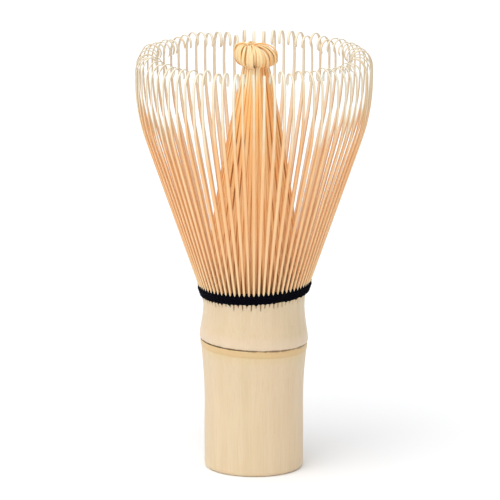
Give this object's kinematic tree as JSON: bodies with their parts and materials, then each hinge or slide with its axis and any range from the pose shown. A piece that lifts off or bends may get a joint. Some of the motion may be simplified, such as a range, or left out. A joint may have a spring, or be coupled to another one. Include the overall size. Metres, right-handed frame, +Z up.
{
  "type": "bamboo tea whisk",
  "caption": "Bamboo tea whisk: a hollow culm handle whose upper half is split into a ring of curled outer tines and an inner core of tines, held apart by a black thread.",
  "frame": {"origin": "centre of the foot, on the plane it stands on", "axes": "+Z up along the culm's axis, from the foot to the tips of the tines; the whisk looks the same from every side, and -Y is the side towards the picture's viewer"},
  "size_m": [0.0486, 0.0486, 0.0899],
  "materials": {
    "bamboo_culm": "satin",
    "bamboo_pith": "matte",
    "bamboo_outer_tines": "satin",
    "bamboo_inner_tines": "satin",
    "thread": "matte"
  },
  "bodies": {
    "culm": {"handle": "bamboo_culm", "septum": "bamboo_pith", "collar": "bamboo_culm", "binding_thread": "thread", "inner_tines_01": "bamboo_inner_tines", "inner_tines_02": "bamboo_inner_tines", "inner_tines_03": "bamboo_inner_tines", "inner_tines_04": "bamboo_inner_tines", "inner_tines_05": "bamboo_inner_tines", "inner_tines_06": "bamboo_inner_tines", "inner_tines_07": "bamboo_inner_tines", "inner_tines_08": "bamboo_inner_tines", "inner_tines_09": "bamboo_inner_tines", "inner_tines_10": "bamboo_inner_tines", "inner_tines_11": "bamboo_inner_tines", "inner_tines_12": "bamboo_inner_tines"},
    "tine_group_01": {"outer_tines_01": "bamboo_outer_tines"},
    "tine_group_02": {"outer_tines_02": "bamboo_outer_tines"},
    "tine_group_03": {"outer_tines_03": "bamboo_outer_tines"},
    "tine_group_04": {"outer_tines_04": "bamboo_outer_tines"},
    "tine_group_05": {"outer_tines_05": "bamboo_outer_tines"},
    "tine_group_06": {"outer_tines_06": "bamboo_outer_tines"},
    "tine_group_07": {"outer_tines_07": "bamboo_outer_tines"},
    "tine_group_08": {"outer_tines_08": "bamboo_outer_tines"},
    "tine_group_09": {"outer_tines_09": "bamboo_outer_tines"},
    "tine_group_10": {"outer_tines_10": "bamboo_outer_tines"},
    "tine_group_11": {"outer_tines_11": "bamboo_outer_tines"},
    "tine_group_12": {"outer_tines_12": "bamboo_outer_tines"},
    "tine_group_13": {"outer_tines_13": "bamboo_outer_tines"},
    "tine_group_14": {"outer_tines_14": "bamboo_outer_tines"},
    "tine_group_15": {"outer_tines_15": "bamboo_outer_tines"},
    "tine_group_16": {"outer_tines_16": "bamboo_outer_tines"},
    "tine_group_17": {"outer_tines_17": "bamboo_outer_tines"},
    "tine_group_18": {"outer_tines_18": "bamboo_outer_tines"},
    "tine_group_19": {"outer_tines_19": "bamboo_outer_tines"},
    "tine_group_20": {"outer_tines_20": "bamboo_outer_tines"},
    "tine_group_21": {"outer_tines_21": "bamboo_outer_tines"},
    "tine_group_22": {"outer_tines_22": "bamboo_outer_tines"},
    "tine_group_23": {"outer_tines_23": "bamboo_outer_tines"},
    "tine_group_24": {"outer_tines_24": "bamboo_outer_tines"}
  },
  "joints": [
    {"name": "flex_01", "type": "hinge", "parent": "culm", "child": "tine_group_01", "pos_m": [0.01167, 0, 0.03986], "axis": [0, 1, 0], "range_deg": [-6, 6], "stiffness_Nm_per_rad": 0.003},
    {"name": "flex_02", "type": "hinge", "parent": "culm", "child": "tine_group_02", "pos_m": [0.01127, 0.00302, 0.03986], "axis": [-0.2588, 0.9659, 0], "range_deg": [-6, 6], "stiffness_Nm_per_rad": 0.003},
    {"name": "flex_03", "type": "hinge", "parent": "culm", "child": "tine_group_03", "pos_m": [0.0101, 0.00583, 0.03986], "axis": [-0.5, 0.866, 0], "range_deg": [-6, 6], "stiffness_Nm_per_rad": 0.003},
    {"name": "flex_04", "type": "hinge", "parent": "culm", "child": "tine_group_04", "pos_m": [0.00825, 0.00825, 0.03986], "axis": [-0.7071, 0.7071, 0], "range_deg": [-6, 6], "stiffness_Nm_per_rad": 0.003},
    {"name": "flex_05", "type": "hinge", "parent": "culm", "child": "tine_group_05", "pos_m": [0.00583, 0.0101, 0.03986], "axis": [-0.866, 0.5, 0], "range_deg": [-6, 6], "stiffness_Nm_per_rad": 0.003},
    {"name": "flex_06", "type": "hinge", "parent": "culm", "child": "tine_group_06", "pos_m": [0.00302, 0.01127, 0.03986], "axis": [-0.9659, 0.2588, 0], "range_deg": [-6, 6], "stiffness_Nm_per_rad": 0.003},
    {"name": "flex_07", "type": "hinge", "parent": "culm", "child": "tine_group_07", "pos_m": [0, 0.01167, 0.03986], "axis": [-1, 0, 0], "range_deg": [-6, 6], "stiffness_Nm_per_rad": 0.003},
    {"name": "flex_08", "type": "hinge", "parent": "culm", "child": "tine_group_08", "pos_m": [-0.00302, 0.01127, 0.03986], "axis": [-0.9659, -0.2588, 0], "range_deg": [-6, 6], "stiffness_Nm_per_rad": 0.003},
    {"name": "flex_09", "type": "hinge", "parent": "culm", "child": "tine_group_09", "pos_m": [-0.00583, 0.0101, 0.03986], "axis": [-0.866, -0.5, 0], "range_deg": [-6, 6], "stiffness_Nm_per_rad": 0.003},
    {"name": "flex_10", "type": "hinge", "parent": "culm", "child": "tine_group_10", "pos_m": [-0.00825, 0.00825, 0.03986], "axis": [-0.7071, -0.7071, 0], "range_deg": [-6, 6], "stiffness_Nm_per_rad": 0.003},
    {"name": "flex_11", "type": "hinge", "parent": "culm", "child": "tine_group_11", "pos_m": [-0.0101, 0.00583, 0.03986], "axis": [-0.5, -0.866, 0], "range_deg": [-6, 6], "stiffness_Nm_per_rad": 0.003},
    {"name": "flex_12", "type": "hinge", "parent": "culm", "child": "tine_group_12", "pos_m": [-0.01127, 0.00302, 0.03986], "axis": [-0.2588, -0.9659, 0], "range_deg": [-6, 6], "stiffness_Nm_per_rad": 0.003},
    {"name": "flex_13", "type": "hinge", "parent": "culm", "child": "tine_group_13", "pos_m": [-0.01167, 0, 0.03986], "axis": [0, -1, 0], "range_deg": [-6, 6], "stiffness_Nm_per_rad": 0.003},
    {"name": "flex_14", "type": "hinge", "parent": "culm", "child": "tine_group_14", "pos_m": [-0.01127, -0.00302, 0.03986], "axis": [0.2588, -0.9659, 0], "range_deg": [-6, 6], "stiffness_Nm_per_rad": 0.003},
    {"name": "flex_15", "type": "hinge", "parent": "culm", "child": "tine_group_15", "pos_m": [-0.0101, -0.00583, 0.03986], "axis": [0.5, -0.866, 0], "range_deg": [-6, 6], "stiffness_Nm_per_rad": 0.003},
    {"name": "flex_16", "type": "hinge", "parent": "culm", "child": "tine_group_16", "pos_m": [-0.00825, -0.00825, 0.03986], "axis": [0.7071, -0.7071, 0], "range_deg": [-6, 6], "stiffness_Nm_per_rad": 0.003},
    {"name": "flex_17", "type": "hinge", "parent": "culm", "child": "tine_group_17", "pos_m": [-0.00583, -0.0101, 0.03986], "axis": [0.866, -0.5, 0], "range_deg": [-6, 6], "stiffness_Nm_per_rad": 0.003},
    {"name": "flex_18", "type": "hinge", "parent": "culm", "child": "tine_group_18", "pos_m": [-0.00302, -0.01127, 0.03986], "axis": [0.9659, -0.2588, 0], "range_deg": [-6, 6], "stiffness_Nm_per_rad": 0.003},
    {"name": "flex_19", "type": "hinge", "parent": "culm", "child": "tine_group_19", "pos_m": [0, -0.01167, 0.03986], "axis": [1, 0, 0], "range_deg": [-6, 6], "stiffness_Nm_per_rad": 0.003},
    {"name": "flex_20", "type": "hinge", "parent": "culm", "child": "tine_group_20", "pos_m": [0.00302, -0.01127, 0.03986], "axis": [0.9659, 0.2588, 0], "range_deg": [-6, 6], "stiffness_Nm_per_rad": 0.003},
    {"name": "flex_21", "type": "hinge", "parent": "culm", "child": "tine_group_21", "pos_m": [0.00583, -0.0101, 0.03986], "axis": [0.866, 0.5, 0], "range_deg": [-6, 6], "stiffness_Nm_per_rad": 0.003},
    {"name": "flex_22", "type": "hinge", "parent": "culm", "child": "tine_group_22", "pos_m": [0.00825, -0.00825, 0.03986], "axis": [0.7071, 0.7071, 0], "range_deg": [-6, 6], "stiffness_Nm_per_rad": 0.003},
    {"name": "flex_23", "type": "hinge", "parent": "culm", "child": "tine_group_23", "pos_m": [0.0101, -0.00583, 0.03986], "axis": [0.5, 0.866, 0], "range_deg": [-6, 6], "stiffness_Nm_per_rad": 0.003},
    {"name": "flex_24", "type": "hinge", "parent": "culm", "child": "tine_group_24", "pos_m": [0.01127, -0.00302, 0.03986], "axis": [0.2588, 0.9659, 0], "range_deg": [-6, 6], "stiffness_Nm_per_rad": 0.003}
  ]
}
